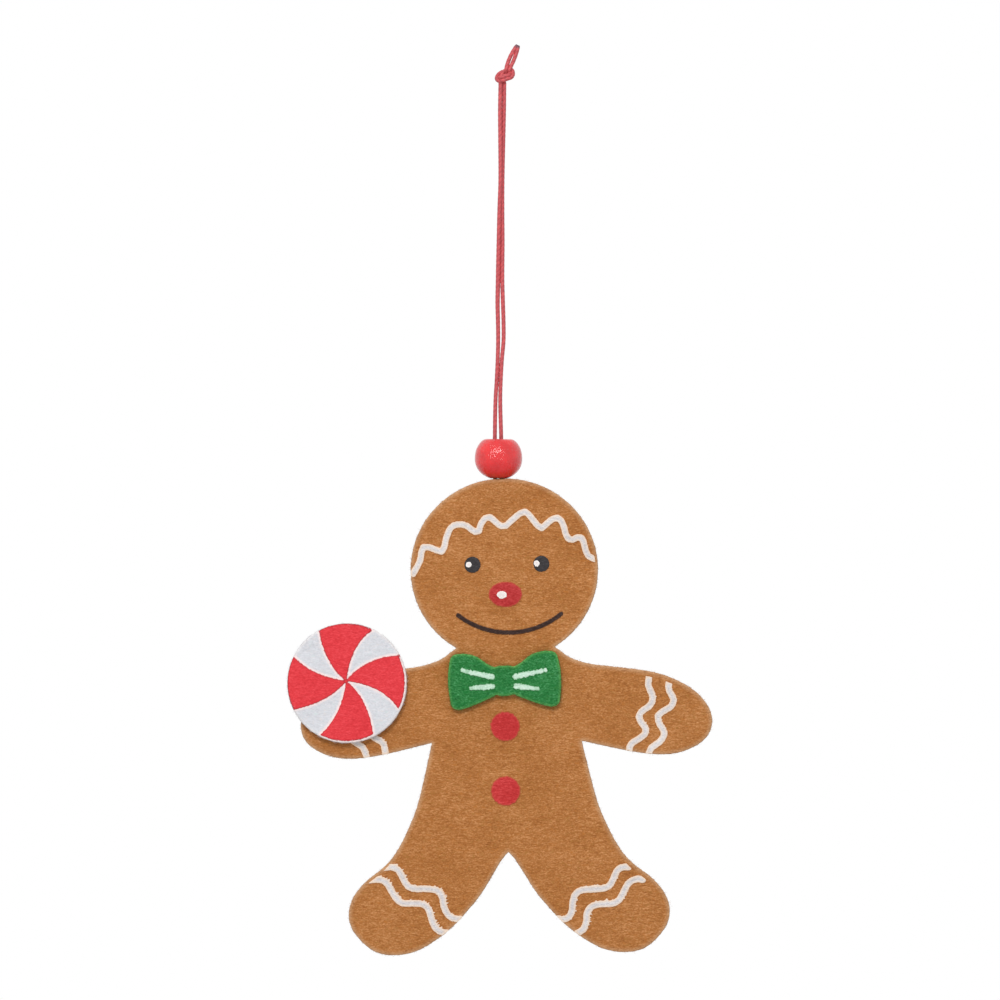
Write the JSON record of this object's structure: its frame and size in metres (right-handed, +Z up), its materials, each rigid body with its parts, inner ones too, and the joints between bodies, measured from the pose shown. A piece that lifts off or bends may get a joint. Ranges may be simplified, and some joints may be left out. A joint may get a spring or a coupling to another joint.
{
  "type": "felt christmas ornament",
  "caption": "Flat felt gingerbread figure ornament with printed icing, a felt bow tie and peppermint disc, hung on a knotted cord loop through a wooden bead.",
  "frame": {"origin": "the hang point, inside the top of the cord's loop, just under its knot", "axes": "+Z up along the hanging cord, +X to the right as seen from the front, -Y towards the viewer, out of the printed front face"},
  "size_m": [0.1062, 0.0118, 0.228],
  "materials": {
    "gingerbread_felt": "gingerbread-brown craft felt, matt and fibrous",
    "white_felt": "off-white craft felt, matt and fibrous",
    "green_felt": "green craft felt, matt and fibrous",
    "icing_print": "off-white ink, matt, grainy over the felt",
    "red_print": "red ink, matt, grainy over the felt",
    "candy_print": "bright red ink, matt, grainy over the felt",
    "dark_print": "near-black brown ink, matt",
    "mint_print": "pale mint paint, matt",
    "red_cord": "waxed two-ply cotton cord, satin",
    "red_lacquer": "gloss red lacquer on a turned wooden bead",
    "hot_melt": "translucent hot-melt glue"
  },
  "bodies": {
    "hanger": {"cord_knot": "red_cord"},
    "cord_loop": {"strand_left": "red_cord", "strand_right": "red_cord"},
    "bead": {"wooden_bead": "red_lacquer"},
    "figure": {"front_felt": "gingerbread_felt", "back_felt": "gingerbread_felt", "bond_film": "hot_melt", "cord_bight": "red_cord", "anchor_dab": "hot_melt", "eye_left": "dark_print", "eye_right": "dark_print", "eye_glint_left": "icing_print", "eye_glint_right": "icing_print", "nose": "red_print", "nose_glint": "icing_print", "mouth": "dark_print", "hairline_icing": "icing_print", "right_hand_stripe_inner": "icing_print", "right_hand_stripe_outer": "icing_print", "left_hand_stripe_inner": "icing_print", "left_hand_stripe_outer": "icing_print", "right_foot_stripe_upper": "icing_print", "right_foot_stripe_lower": "icing_print", "left_foot_stripe_upper": "icing_print", "left_foot_stripe_lower": "icing_print", "button_upper": "red_print", "button_lower": "red_print", "bow_glue_dab": "hot_melt", "bow_tie": "green_felt", "bow_stroke_left_upper": "mint_print", "bow_stroke_left_lower": "mint_print", "bow_stroke_right_upper": "mint_print", "bow_stroke_right_lower": "mint_print", "candy_disc": "white_felt", "candy_swirl": "candy_print", "candy_glue_dab": "hot_melt"}
  },
  "joints": [
    {"name": "swing", "type": "hinge", "parent": "hanger", "child": "cord_loop", "pos_m": [0, 0, 0], "axis": [0, 1, 0], "range_deg": [-45, 45]},
    {"name": "twirl", "type": "hinge", "parent": "cord_loop", "child": "figure", "pos_m": [-0.00114, 0, -0.09859], "axis": [0.0115, 0, 0.9999], "range_deg": [-180, 180]},
    {"name": "bead_slide", "type": "slide", "parent": "cord_loop", "child": "bead", "axis": [0.0115, 0, 0.9999], "range_m": [0, 0.085]}
  ]
}
